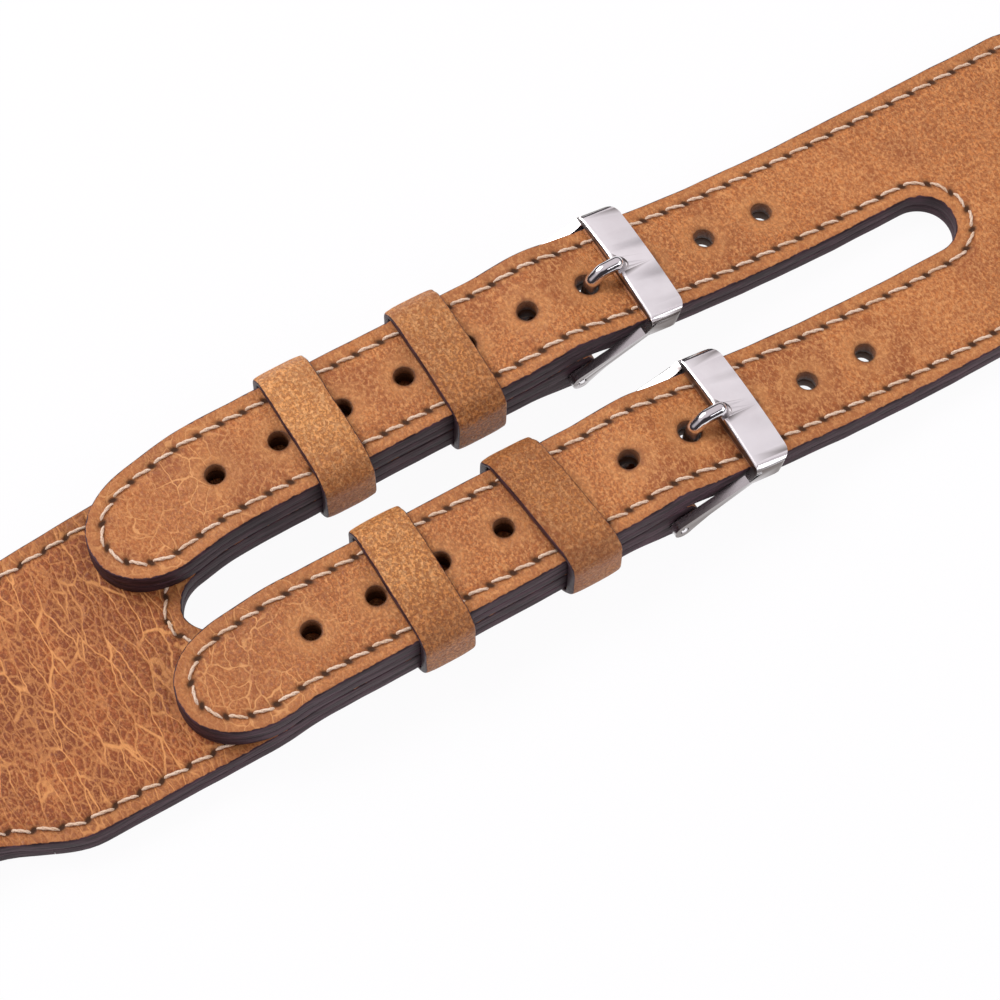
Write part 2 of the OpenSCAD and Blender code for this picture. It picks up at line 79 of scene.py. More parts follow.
# The band lies on a white sheet, which is kept white for the camera and for
# reflections, and still takes the band's shadow.
class Shade:
    """A value in a material: sums on it add their Math nodes, and node() adds any other node."""

    def __init__(self, tree, socket=None):
        self.tree = tree
        self.socket = socket

    def feed(self, socket, value):
        if isinstance(value, Shade):
            self.tree.links.new(value.socket, socket)
        else:
            socket.default_value = value

    def node(self, kind, settings=None, inputs=None, out=0):
        made = self.tree.nodes.new(kind)
        for key, value in (settings or {}).items():
            if key == "stops":
                ramp = made.color_ramp
                while len(ramp.elements) < len(value):
                    ramp.elements.new(0.5)
                for element, (place, colour) in zip(ramp.elements, value):
                    element.position = place
                    element.color = colour
            else:
                setattr(made, key, value)
        for key, value in (inputs or {}).items():
            self.feed(made.inputs[key], value)
        return Shade(self.tree, made.outputs[out])

    def maths(self, operation, first, second=0.0):
        return self.node("ShaderNodeMath", {"operation": operation}, {0: first, 1: second})

    def __add__(self, other):
        return self.maths("ADD", self, other)

    def __radd__(self, other):
        return self.maths("ADD", other, self)

    def __sub__(self, other):
        return self.maths("SUBTRACT", self, other)

    def __rsub__(self, other):
        return self.maths("SUBTRACT", other, self)

    def __mul__(self, other):
        return self.maths("MULTIPLY", self, other)

    def step(self, low, high):
        """0 below low and 1 above high, or the other way round, eased between them."""
        return self.node(
            "ShaderNodeMapRange",
            {"interpolation_type": "SMOOTHSTEP"},
            {"Value": self, "From Min": low, "From Max": high},
        )

    def blend(self, mask, low, high, blend_type="MIX"):
        """The colour low where mask is 0, and high, or the two blended, where it is 1."""
        settings = {"data_type": "RGBA", "blend_type": blend_type}
        return self.node("ShaderNodeMix", settings, {0: mask, 6: low, 7: high}, out=2)

    def place(self):
        """The place on the piece, in its own coordinates."""
        return self.node("ShaderNodeTexCoord", out="Object")

    def stretched(self, scale, turned=0.0):
        """This place, turned about Z and scaled along the axes."""
        return self.node(
            "ShaderNodeMapping", {}, {"Vector": self, "Rotation": (0, 0, turned), "Scale": scale},
        )

    def noise(self, scale, detail=3.0, **more):
        """Noise from 0 to 1 at this place."""
        return self.node("ShaderNodeTexNoise", {}, {"Vector": self, "Scale": scale, "Detail": detail, **more})

    def bump(self, shader, strength, depth):
        """Makes this height the relief of a shader, depth millimetres deep."""
        relief = {"Height": self, "Strength": strength, "Distance": depth * mm}
        self.feed(shader.inputs["Normal"], self.node("ShaderNodeBump", {}, relief))


def srgb(red, green, blue):
    """A colour as it is seen on a screen, from 0 to 255, for a shader."""
    linear = [(c / 255 / 12.92) if c < 10 else ((c / 255 + 0.055) / 1.055) ** 2.4 for c in (red, green, blue)]
    return (*linear, 1.0)


def finish(name, **values):
    """A new material, its shader and a Shade to build on."""
    material = bpy.data.materials.new(name)
    material.use_nodes = True
    shader = material.node_tree.nodes["Principled BSDF"]
    for key, value in values.items():
        shader.inputs[key.replace("_", " ")].default_value = value
    return material, shader, Shade(material.node_tree)


bpy.ops.object.select_all(action="DESELECT")
bpy.ops.mesh.primitive_plane_add(size=3, location=(0, 0, -0.08 * mm))
floor = bpy.context.object
floor.name = "floor"
bpy.ops.object.transform_apply(location=True, rotation=False, scale=False)
floor_finish, floor_shader, shade = finish("white_sheet", Roughness=0.9)
floor_shader.inputs["Specular IOR Level"].default_value = 0.0
weave = shade.node("ShaderNodeTexNoise", {}, {"Scale": 60.0, "Detail": 2.0})
shade.feed(
    floor_shader.inputs["Base Color"],
    shade.blend(weave, (0.86, 0.84, 0.91, 1), (0.88, 0.86, 0.93, 1)),
)
seen = shade.node("ShaderNodeLightPath", out="Is Camera Ray")
mirrored = shade.node("ShaderNodeLightPath", out="Is Glossy Ray")
through = shade.node("ShaderNodeLightPath", out="Is Transmission Ray")
kept_white = shade.node(
    "ShaderNodeMath", {"operation": "ADD", "use_clamp": True}, {0: seen * 0.95 + mirrored, 1: through},
)
white = shade.node("ShaderNodeEmission", {}, {"Color": (1, 0.995, 1, 1), "Strength": 1.0})
lit = Shade(shade.tree, floor_shader.outputs[0])
mixed = shade.node("ShaderNodeMixShader", {}, {0: kept_white, 1: lit, 2: white})
shade.tree.links.new(mixed.socket, shade.tree.nodes["Material Output"].inputs["Surface"])
floor.data.materials.append(floor_finish)


# A soft box hangs over the band's far left, a wide one stands at its near
# right, and the white room fills the shadows. Polished steel also mirrors the
# room's dark walls, low round the table, and the dark side where the camera is.
def soft_box(name, place, target, size, power, colour):
    lamp = bpy.data.lights.new(name, "AREA")
    lamp.shape = "RECTANGLE"
    lamp.size, lamp.size_y = size
    lamp.energy = power
    lamp.color = colour
    holder = add_to_scene(name, lamp)
    holder.location = place
    holder.rotation_euler = (Vector(target) - Vector(place)).to_track_quat("-Z", "Y").to_euler()


soft_box("far_left_box", (-0.22, 0.40, 0.50), (0, 0, 0), (0.45, 0.35), 3.4, (1, 0.98, 0.97))
soft_box("near_right_box", (0.45, -0.40, 0.40), (0, 0, 0), (0.5, 0.4), 1.3, (0.97, 0.97, 1))
world = bpy.data.worlds.new("white_room")
bpy.context.scene.world = world
world.use_nodes = True
backdrop = world.node_tree.nodes["Background"]
backdrop.inputs["Strength"].default_value = 0.55
shade = Shade(world.node_tree)
looks = shade.node("ShaderNodeTexCoord", out="Generated")
rise = shade.node("ShaderNodeSeparateXYZ", {}, {"Vector": looks}, out="Z")
depth = shade.node("ShaderNodeSeparateXYZ", {}, {"Vector": looks}, out="Y")
walls = shade.maths("MAXIMUM", rise.step(0.50, 0.34), depth.step(-0.15, -0.45) * rise.step(0.95, 0.80))
room = shade.blend(walls, (1.20, 1.10, 1.15, 1), (0.07, 0.06, 0.07, 1))
glossy = shade.node("ShaderNodeLightPath", out="Is Glossy Ray")
shade.feed(backdrop.inputs["Color"], shade.blend(glossy, (0.96, 0.95, 1.0, 1), room))

# Short half, face leather: vegetable-tanned leather, cut to a pattern with two
# legs, folded round the watch bar and the buckle bars, glued and sewn to its
# lining. It is modelled as its flat pattern, which is then folded.
strap_y = 9.325
half_strap = 6.0
slot_r = 3.325
watch_x = 72.7
bar_x = 2.3
face_t = 1.6
lining_t = 1.4
fold_back = 9.0
glue_gap = 0.03
turn_len = math.pi * 1.6
stitch_inset = 1.6
stitch_pitch = 2.5
watch_seam = 4.6
leg_seam_x = -1.9
watch_half = 11.8
body_half = 15.325
taper_from = 2.5
taper_len = 11
outer_rim = 0.22
glued_rim = 0.08
hole_rim = 0.08
face_grid = 0.5
lining_grid = 0.6
face_grain = 3300
lining_grain = 2300
quarter = np.radians(np.arange(0, 91, 6))
short_slot_x = -39.6
bend_x = -31.5
short_under = ((-72.7, 0, 0), (-42.2, 0, 0), (-35.2, 1.3, 0), (-3.3, 1.3, 0), (2.3, 0.35, 0))
short_upper = (
    (-72.7, 4.6, 0), (-65.7, 3, 0), (-42.2, 3, 0), (-35.2, 4.3, 0), (-3.3, 4.3, 0), (2.3, 4.85, 0),
)
# A bar: x, height, outside of the fold, inside of the fold, way the leather runs past it
short_bars = ((-72.7, 2.3, 2.3, 1.0, -1), (2.3, 2.6, 2.25, 0.95, 1))


def ease(t):
    t = np.clip(t, 0, 1)
    return t * t * (3 - 2 * t)


def half_width(distance):
    """Half the body's width at a distance from its watch bar."""
    return watch_half + (body_half - watch_half) * ease((distance - taper_from) / taper_len)


def height(stations, x):
    """Height at x on cubic pieces through stations of x, height and slope."""
    result = np.zeros_like(x)
    for index, (a, b) in enumerate(zip(stations, stations[1:])):
        run = b[0] - a[0]
        t = np.clip((x - a[0]) / run, 0, 1)
        here = (
            a[1] * (1 - 3 * t * t + 2 * t ** 3) + b[1] * (3 * t * t - 2 * t ** 3)
            + a[2] * run * t * (1 - t) ** 2 - b[2] * run * t * t * (1 - t)
        )
        result = np.where(x >= a[0], here, result) if index else here
    return result


def fold(s, t, under, upper, bars):
    """Where the flat pattern's place s and depth t (0 glued side, 1 face) lie: x, z and the way out."""
    x = s.copy()
    turned = np.zeros(len(s), bool)
    for bar in bars:
        past = (s - bar[0]) * bar[4]
        turned |= past > turn_len
        x = np.where(past > turn_len, bar[0] - bar[4] * (past - turn_len), x)
    seam = height(under, x) + lining_t
    for bar in bars:
        near = ease((fold_back - np.abs(x - bar[0])) / (fold_back - 1.4))
        seam = seam + (bar[1] - seam) * near
    inner = seam
    for bar in bars:
        bore = np.sqrt(np.clip(bar[3] ** 2 - (x - bar[0]) ** 2, 0, None))
        inside = np.abs(x - bar[0]) < bar[3]
        inner = np.where(inside & ~turned, np.maximum(seam, bar[1] + bore), inner)
        inner = np.where(inside & turned, np.minimum(seam, bar[1] - bore), inner)
    outer = np.where(turned, height(under, x), height(upper, x))
    z = inner + (outer - inner) * t
    out_x = np.zeros(len(s))
    out_z = np.where(turned, -1.0, 1.0)
    for bar in bars:
        past = (s - bar[0]) * bar[4]
        turning = (past > 0) & (past <= turn_len)
        angle = past / turn_len * math.pi
        r = bar[3] + (bar[2] - bar[3]) * t
        x = np.where(turning, bar[0] + bar[4] * r * np.sin(angle), x)
        z = np.where(turning, bar[1] + r * np.cos(angle), z)
        out_x = np.where(turning, bar[4] * np.sin(angle), out_x)
        out_z = np.where(turning, np.cos(angle), out_z)
    return x, z, out_x, out_z


def mirrored_outline(upper_half):
    """A closed outline from its half at positive y, whose first point lies on y = 0."""
    return upper_half + [(x, -y) for x, y in reversed(upper_half[1:])]


def body_edge(way, start, end, inset=0.0):
    """Edge of a body, from start to end past its full width, on the watch bar's side given by way."""
    places = np.arange(13.6, -0.01, -0.8)
    places = [d for d in places if d > start + 0.1] + [start]
    edge = [(way * (watch_x - d), float(half_width(d)) - inset) for d in places]
    if end > 0:
        flap = np.arange(0, end + 0.01, 1.0)
        edge += [(way * (watch_x + turn_len + d), float(half_width(d)) - inset) for d in flap]
    return edge


def slot_end(x, way, r):
    """Half of a slot's round end, from the middle of the band outwards."""
    return [(x + way * r * math.cos(a), r * math.sin(a)) for a in quarter]


def short_shape(leg_end, start, end, inset=0.0):
    """A line round the short half, inset from its edge. The legs end at leg_end."""
    r = slot_r + inset
    leg = [(leg_end, r), (leg_end, slot_r + 2 * half_strap - inset)]
    return mirrored_outline(slot_end(short_slot_x, -1, r) + leg + body_edge(-1, start, end, inset))


def from_watch_end(line):
    """The same closed line, begun at the watch end."""
    half = len(line) // 2
    return line[half:] + line[:half]


def edit(sheet, choose=None):
    """Opens the piece for editing with the edges selected that choose picks, or all of it."""
    if bpy.context.mode != "OBJECT":
        bpy.ops.object.mode_set(mode="OBJECT")
    bpy.ops.object.select_all(action="DESELECT")
    sheet.select_set(True)
    bpy.context.view_layer.objects.active = sheet
    bpy.ops.object.mode_set(mode="EDIT")
    bpy.ops.mesh.select_mode(type="EDGE")
    if not choose:
        bpy.ops.mesh.select_all(action="SELECT")
        return
    bpy.ops.mesh.select_all(action="DESELECT")
    shape = bmesh.from_edit_mesh(sheet.data)
    for edge in shape.edges:
        if choose(edge):
            edge.select_set(True)
    bmesh.update_edit_mesh(sheet.data)


def slice_all(place, normal):
    """Divides the faces of the piece that is open for editing along a plane."""
    bpy.ops.mesh.select_all(action="SELECT")
    bpy.ops.mesh.bisect(plane_co=place, plane_no=normal)


def smooth(sheet, angle):
    """Turns all faces outwards and smooths the edges blunter than an angle in degrees."""
    edit(sheet)
    bpy.ops.mesh.normals_make_consistent(inside=False)
    bpy.ops.object.mode_set(mode="OBJECT")
    bpy.ops.object.shade_smooth_by_angle(angle=math.radians(angle))


def round_rims(piece, width, angle):
    """Rounds the edges of the active piece that are sharper than an angle in degrees."""
    rims = piece.modifiers.new("rims", "BEVEL")
    rims.width = width
    rims.segments = 3
    rims.limit_method = "ANGLE"
    rims.angle_limit = math.radians(angle)
    bpy.ops.object.modifier_apply(modifier="rims")


def points_of(sheet):
    points = np.zeros(len(sheet.data.vertices) * 3)
    sheet.data.vertices.foreach_get("co", points)
    return points.reshape(-1, 3)


def note(sheet, name, values):
    """Notes a value for every point of a piece, for its material to read."""
    made = sheet.data.attributes.new(name, "FLOAT", "POINT")
    made.data.foreach_set("value", values.astype(np.float32))


def cut_sheet(name, outline, holes, thick, face_rim, back_rim, grid):
    """A flat pattern of leather with its rims rounded, in a grid of small faces, in millimetres."""
    bpy.ops.object.select_all(action="DESELECT")
    bpy.ops.mesh.primitive_circle_add(vertices=len(outline), fill_type="NGON")
    sheet = bpy.context.object
    sheet.name = name
    for vertex, (x, y) in zip(sheet.data.vertices, outline):
        vertex.co = (x, y, 0)
    edit(sheet)
    bpy.ops.mesh.extrude_region_move(TRANSFORM_OT_translate={"value": (0, 0, thick)})
    bpy.ops.mesh.select_all(action="SELECT")
    bpy.ops.mesh.normals_make_consistent(inside=False)
    bpy.ops.object.mode_set(mode="OBJECT")
    for x, y, wide, deep in holes:
        bpy.ops.object.select_all(action="DESELECT")
        if wide == deep:
            bpy.ops.mesh.primitive_cylinder_add(vertices=32, radius=wide / 2, depth=9, location=(x, y, 0))
        else:
            bpy.ops.mesh.primitive_cube_add(size=1, location=(x, y, 0), scale=(wide, deep, 9))
        punch = bpy.context.object
        cut = sheet.modifiers.new("cut", "BOOLEAN")
        cut.operation = "DIFFERENCE"
        cut.solver = "EXACT"
        cut.object = punch
        bpy.context.view_layer.objects.active = sheet
        bpy.ops.object.modifier_apply(modifier="cut")
        bpy.data.objects.remove(punch)

    def on_rim(level, round_a_hole):
        def choose(edge):
            steep = [abs(face.normal.z) < 0.5 for face in edge.link_faces]
            if len(steep) != 2 or steep[0] == steep[1] or any(abs(v.co.z - level) > 1e-4 for v in edge.verts):
                return False
            at = edge.verts[0].co
            return round_a_hole == any(abs(at.x - x) + abs(at.y - y) < wide for x, y, wide, deep in holes)
        return choose

    for level, width in ((thick, face_rim), (0, back_rim)):
        edit(sheet, on_rim(level, False))
        bpy.ops.mesh.bevel(offset=width, segments=3, affect="EDGES")
        edit(sheet, on_rim(level, True))
        bpy.ops.mesh.bevel(offset=hole_rim, segments=2, affect="EDGES")
    low = [min(p[i] for p in outline) for i in (0, 1)]
    high = [max(p[i] for p in outline) for i in (0, 1)]
    edit(sheet)
    for axis, normal in ((0, (1, 0, 0)), (1, (0, 1, 0))):
        count = int((high[axis] - low[axis]) / grid)
        for k in range(1, count):
            place = [0, 0, 0]
            place[axis] = low[axis] + (high[axis] - low[axis]) * k / count
            slice_all(place, normal)
    slice_all((0, 0, thick / 2), (0, 0, 1))
    bpy.ops.object.mode_set(mode="OBJECT")
    return sheet


def distance_to(points, line):
    """Distance of every point from a closed line, and how far along the line its nearest point lies."""
    start = np.array(line)
    end = np.roll(start, -1, axis=0)
    step = end - start
    length = np.hypot(step[:, 0], step[:, 1])
    before = np.concatenate(([0], np.cumsum(length)[:-1]))
    best = np.full(len(points), 1e9)
    along = np.zeros(len(points))
    for a, d, l, b in zip(start, step, length, before):
        if l < 1e-9:
            continue
        t = np.clip(((points - a) @ d) / (l * l), 0, 1)
        gap = np.hypot(*(points - a - t[:, None] * d).T)
        nearer = gap < best
        best = np.where(nearer, gap, best)
        along = np.where(nearer, b + t * l, along)
    return best, along, length.sum()


def inside_line(points, line):
    """Whether each point lies inside a closed line."""
    start = np.array(line)
    end = np.roll(start, -1, axis=0)
    inside = np.zeros(len(points), bool)
    for a, b in zip(start, end):
        crosses = (a[1] > points[:, 1]) != (b[1] > points[:, 1])
        with np.errstate(divide="ignore", invalid="ignore"):
            reach = a[0] + (points[:, 1] - a[1]) / (b[1] - a[1]) * (b[0] - a[0])
        inside ^= crosses & (points[:, 0] < reach)
    return inside


def awl_places(line, pitch, seed):
    """Where the awl pierced a sewing line: distances along it, none quite even."""
    length = distance_to(np.zeros((1, 2)), line)[2]
    count = round(length / pitch)
    draw = random.Random(seed)
    return [(k + draw.uniform(-0.07, 0.07)) * length / count for k in range(count)], length


def tail_bend(x, y):
    """The far tail's free end leans a little towards the near one."""
    past = np.clip(bend_x - x, 0, None)
    return np.where(y > 0, y - 0.083 * past ** 2 / (past + 4), y)


def ripple(x, y, z, size, seed):
    """A slow, even-handed unevenness from -1 to 1, one value for each point."""
    return np.array([noise.noise(Vector((a / size, b / size, c / size + seed))) for a, b, c in zip(x, y, z)])


def dress(sheet, outline, sewing, awls, holes, thick, place, outer_side):
    """Presses the seam, holes and rims into a flat pattern, folds it into place and notes what is where."""
    flat = points_of(sheet)
    plan = flat[:, :2]
    t = flat[:, 2] / thick
    rim, _, _ = distance_to(plan, outline)
    seam, along, total = distance_to(plan, sewing)
    side = np.where(inside_line(plan, sewing), seam, -seam)
    nearest_awl = np.interp(along, awls + [total + awls[0]], range(len(awls) + 1))
    to_awl = np.abs(nearest_awl - np.round(nearest_awl)) * total / len(awls)
    punched = np.full(len(flat), 9.0)
    for x, y, wide, deep in holes:
        if wide == deep:
            punched = np.minimum(punched, np.abs(np.hypot(plan[:, 0] - x, plan[:, 1] - y) - wide / 2))
    cut_wall = (punched < 0.01) & (t > 0.06) & (t < 0.99 if outer_side else 2)
    pressed = -0.10 * np.exp(-((seam / 0.5) ** 2)) - 0.14 * np.exp(-((np.hypot(seam, to_awl) / 0.45) ** 2))
    pressed -= 0.10 * np.exp(-((punched / 0.5) ** 2))
    pressed += 0.035 * ripple(flat[:, 0], flat[:, 1], flat[:, 2] * 0, 3.1, 4.2)
    wobble = 0.045 * ripple(flat[:, 0], flat[:, 1], flat[:, 2], 2.3, 9.7) * np.exp(-rim / 0.8)
    s = flat[:, 0]
    y = flat[:, 1] + wobble
    face = t if outer_side else 1 - t
    x, z, out_x, out_z = place(s, t)
    x = x + out_x * pressed * face
    z = z + out_z * pressed * face
    y = tail_bend(x, y)
    folded = np.stack((x, y, z), axis=1) * mm
    sheet.data.vertices.foreach_set("co", folded.ravel())

    wall = (t > 0.001) & (t < 0.999)
    note(sheet, "rim", np.where(wall & (rim < 0.02), -0.3, rim))
    note(sheet, "punched", np.where(cut_wall, -0.4, punched))
    corner_vertex = np.zeros(len(sheet.data.loops), int)
    sheet.data.loops.foreach_get("vertex_index", corner_vertex)
    start = np.zeros(len(sheet.data.polygons), int)
    size = np.zeros(len(sheet.data.polygons), int)
    sheet.data.polygons.foreach_get("loop_start", start)
    sheet.data.polygons.foreach_get("loop_total", size)
    u = nearest_awl[corner_vertex]
    highest = np.repeat(np.maximum.reduceat(u, start), size)
    u = np.where(highest - u > len(awls) / 2, u + len(awls), u)
    for layer in list(sheet.data.uv_layers):
        sheet.data.uv_layers.remove(layer)
    seam_map = sheet.data.uv_layers.new(name="seam")
    seam_map.data.foreach_set("uv", np.stack((u, side[corner_vertex]), axis=1).ravel().astype(np.float32))
    smooth(sheet, 50)


def leather(name, light, dark, crease, folds, cracks, grain):
    """Waxed leather with a fine pale grain. folds and cracks say where its two nets of creases lie."""
    material, shader, shade = finish(name, Roughness=0.5)
    shader.inputs["Specular IOR Level"].default_value = 0.35
    place = shade.place()

    def spots(scale, detail, stretch=(1, 1, 1), rough=0.55, distort=0.0):
        return place.stretched(stretch).noise(scale, detail, Roughness=rough, Distortion=distort)

    def cells(scale, stretch, turned, strength):
        """Distance from the nearest crease of a net of creases."""
        jog = place.noise(scale * 0.4).socket.node.outputs["Color"]
        moved = shade.node(
            "ShaderNodeVectorMath", {"operation": "MULTIPLY_ADD"},
            {0: Shade(shade.tree, jog), 1: (strength,) * 3, 2: place},
        )
        return shade.node(
            "ShaderNodeTexVoronoi", {"feature": "DISTANCE_TO_EDGE"},
            {"Vector": moved.stretched(stretch, turned), "Scale": scale}, out="Distance",
        )

    x = shade.node("ShaderNodeSeparateXYZ", {}, {"Vector": place})
    folded = folds(x)
    cracked = cracks(x)
    polished = spots(150, 3, (1, 0.6, 1), 0.6, 0.4).step(0.42, 0.60)
    clouds = spots(42, 2).step(0.32, 0.70)
    worn = spots(260, 2, (1, 0.5, 1)).step(0.36, 0.60)
    pits = spots(grain * 1.15, 4, (1, 0.8, 1), 0.72).step(0.42, 0.58)
    wear = spots(grain * 0.9, 4, (1, 0.7, 1), 0.72).step(0.47, 0.62)
    long_net = cells(700, (1.0, 0.24, 1.0), 0.12, 0.0014)
    short_net = cells(1250, (1.0, 0.55, 1.0), -0.25, 0.0005)
    crackle = cells(640, (1.0, 0.62, 1.0), 0.5, 0.0030)
    long_creases = long_net.step(0.060, 0.012) * folded * (0.40 + worn * 0.60)
    short_creases = short_net.step(0.10, 0.02) * (folded * 0.20 + 0.24) * (0.35 + clouds * 0.65)
    cracks_seen = crackle.step(0.050, 0.012) * cracked * (0.18 + worn * 0.62)
    creases = shade.maths("MAXIMUM", shade.maths("MAXIMUM", long_creases, short_creases), cracks_seen)

    colour = shade.blend(polished * (0.30 + clouds * 0.50) + cracked * 0.30, light, dark)
    colour = shade.blend(pits * (0.72 - cracked * 0.20), colour, dark)
    colour = shade.blend(wear * (0.54 - cracked * 0.20 - folded * 0.14), colour, crease)
    colour = shade.blend((1.10 - clouds) * pits * 0.32, colour, srgb(104, 52, 20))
    colour = shade.blend(creases * 0.90, colour, crease)
    bumps = (
        long_net.step(0.0, 0.16) * folded * 0.7 + short_net.step(0.0, 0.2) * (folded * 0.3 + 0.3)
        + crackle.step(0.0, 0.1) * cracked * 0.5 + pits * -0.35 + wear * 0.2
    )
    return material, shader, shade, colour, bumps, clouds


def attribute(shade, name):
    return shade.node("ShaderNodeAttribute", {"attribute_name": name}, {}, out="Fac")


def edge_paint(shade, colour, ragged=0.16):
    """Dark edge paint, brushed on in two coats, runs a hair over the rim."""
    rim = attribute(shade, "rim")
    place = shade.place()
    fray = place.noise(1500.0)
    strokes = place.stretched((1, 1, 9)).noise(420.0, 4.0)
    paint = shade.blend(strokes.step(0.35, 0.7), srgb(44, 24, 31), srgb(78, 50, 60))
    mask = (rim + (fray - 0.5) * 0.34).step(ragged, ragged - 0.07)
    return shade.blend(mask, colour, paint), mask, strokes


def seamed(shade, colour):
    """Awl marks, the pressed seam line and burnt hole rims on a sewn face."""
    rim = attribute(shade, "rim")
    at = shade.node("ShaderNodeUVMap", {"uv_map": "seam"})
    u = shade.node("ShaderNodeSeparateXYZ", {}, {"Vector": at})
    v = Shade(shade.tree, u.socket.node.outputs["Y"])
    along = (shade.maths("FRACT", u + 0.5) - 0.5) * stitch_pitch
    slant = along * 0.8 + v * 0.6
    thwart = v * 0.8 - along * 0.6
    reach = shade.maths("SQRT", slant * slant * 4.6 + thwart * thwart * 13.0)
    mark = reach.step(1.38, 0.48)
    shadow = reach.step(2.6, 0.6)
    line = shade.maths("ABSOLUTE", v).step(0.75, 0.1)
    punched = attribute(shade, "punched")
    fray = shade.place().noise(900.0)
    rubbed = shade.maths("MAXIMUM", punched.step(2.4, 0.8), rim.step(2.3, 1.2) * 0.8)
    halo = (punched + (fray - 0.5) * 0.5).step(0.60, 0.0)
    stain = (punched + (fray - 0.5) * 0.2).step(0.22, 0.0)
    burnt = (rim + (fray - 0.5) * 0.8).step(1.0, 0.0)
    colour = shade.blend(rubbed * (0.15 + fray * 0.35), colour, srgb(204, 140, 84))
    colour = shade.blend(burnt * 0.30, colour, srgb(150, 80, 42))
    colour = shade.blend(line * 0.22, colour, srgb(132, 72, 34))
    colour = shade.blend(shadow * 0.50, colour, srgb(108, 60, 24))
    colour = shade.blend(halo * 0.60, colour, srgb(112, 62, 28))
    colour = shade.blend(stain * 0.80, colour, srgb(62, 34, 14))
    colour = shade.blend(punched.step(-0.05, -0.30), colour, srgb(136, 88, 58))
    colour = shade.blend(mark * 0.92, colour, srgb(52, 28, 12))
    return colour, mark


def short_folds(x):
    return 1 - x.step(-0.042, -0.034) * 0.90


def short_cracks(x):
    return x.step(-0.044, -0.036) * 0.35


def face_finish(name, light, dark, crease, folds, cracks):
    material, shader, shade, colour, bumps, mottle = leather(
        name, light, dark, crease, folds, cracks, face_grain,
    )
    colour, mark = seamed(shade, colour)
    colour, painted, strokes = edge_paint(shade, colour)
    shade.feed(shader.inputs["Base Color"], colour)
    shade.feed(shader.inputs["Roughness"], 0.46 + mottle * 0.08 + painted * 0.16 + mark * 0.3)
    lift = bumps * (1 - painted) + strokes * painted * 0.8 - mark * 1.5
    lift.bump(shader, 0.6, 0.12)
    return material


def fold_short(s, t):
    return fold(s, t, short_under, short_upper, short_bars)


short_pattern = short_shape(bar_x + turn_len + fold_back, 0, fold_back)
short_line = from_watch_end(short_shape(leg_seam_x, watch_seam, 0, stitch_inset))
short_awls, short_length = awl_places(short_line, stitch_pitch, 11)
cut_past_bar = 2.65
cut_wide = 2.9
tongue_cuts = [
    (bar_x + turn_len / 2, side * strap_y, 2 * cut_past_bar + turn_len, cut_wide) for side in (-1, 1)
]
short_face = cut_sheet(
    "short_face_leather", short_pattern, tongue_cuts, face_t, outer_rim, glued_rim, face_grid,
)
dress(short_face, short_pattern, short_line, short_awls, tongue_cuts, face_t, fold_short, True)
# Its colours are darker and redder than the long half's: partly the hide's own tone, partly painted shade for
# the weaker light on the band's left.
short_face.data.materials.append(face_finish(
    "waxed_leather_short", srgb(164, 86, 39), srgb(122, 57, 23), srgb(228, 156, 92),
    short_folds, short_cracks,
))
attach(short_face, "band")
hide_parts("short_top_leather")

# Short half, lining: a second layer of the same hide, skived and glued under the
# face leather between the two folded ends, and painted with it along the edge.
def lay(s, t, under):
    """Where a lining's flat pattern lies: it only follows the height of the half's underside."""
    z = height(under, s) + (lining_t - 0.01) * t
    return s.copy(), z, np.zeros(len(s)), -np.ones(len(s))


def lay_short(s, t):
    return lay(s, t, short_under)


def lining_finish():
    material, shader, shade, colour, bumps, mottle = leather(
        "waxed_lining", srgb(186, 128, 80), srgb(160, 102, 62), srgb(204, 152, 104),
        short_folds, short_cracks, lining_grain,
    )
    colour, _ = seamed(shade, colour)
    colour, painted, strokes = edge_paint(shade, colour)
    shade.feed(shader.inputs["Base Color"], colour)
    shade.feed(shader.inputs["Roughness"], 0.58 + mottle * 0.08 + painted * 0.04)
    lift = bumps * (1 - painted) * 0.5 + strokes * painted * 0.8
    lift.bump(shader, 0.4, 0.12)
    return material


short_lining_pattern = short_shape(bar_x - fold_back - glue_gap, fold_back + glue_gap, 0)
short_lining = cut_sheet(
    "short_lining_leather", short_lining_pattern, [], lining_t, glued_rim, outer_rim, lining_grid,
)
dress(short_lining, short_lining_pattern, short_line, short_awls, [], lining_t, lay_short, False)
short_lining.data.materials.append(lining_finish())
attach(short_lining, "band")
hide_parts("short_lining")

# Long half, face leather: the same hide, with two tails that end in round tips
# and have ten punched holes each, folded and sewn round the other watch bar.
tip_x = -47.8
long_slot_x = 40.85
hole_pitch = 6.85
first_hole_x = -34.1
hole_d = 1.95
opened_by = 0.35
buckled = 6
long_under = (
    (-47.8, 3.05, 0), (-42.2, 3.05, 0), (-35.2, 4.35, 0), (-3.3, 4.35, 0), (2.3, 4.95, 0),
    (7.0, 3.8, -0.24), (20.7, 1.089, -0.16), (27.6, 0.396, -0.08), (34.8, 0, 0), (72.7, 0, 0),
)
long_rise = ((-47.8, 3, 0), (65.7, 3, 0), (72.7, 4.6, 0))
long_bars = ((72.7, 2.3, 2.3, 1.0, 1),)


def tail_tip(inset):
    """One tail's round tip, from its inner side to its outer side, about the tail's middle."""
    angles = np.radians(np.arange(-90, 91, 6))
    width = half_strap - inset
    tip = [tip_x + inset + (7.5 - inset) * (1 - math.cos(a)) for a in angles]
    reach = [math.copysign(width * abs(math.sin(a)) ** 0.92, a) for a in angles]
    return [(x, strap_y + y) for x, y in zip(tip, reach)]


def long_shape(start, end, inset=0.0):
    """A line round the long half, inset from its edge."""
    watch_end = sorted(body_edge(1, start, end, inset), key=lambda p: p[0])
    return mirrored_outline(slot_end(long_slot_x, 1, slot_r + inset) + tail_tip(inset) + watch_end)


def fold_long(s, t):
    return fold(s, t, long_under, long_upper, long_bars)


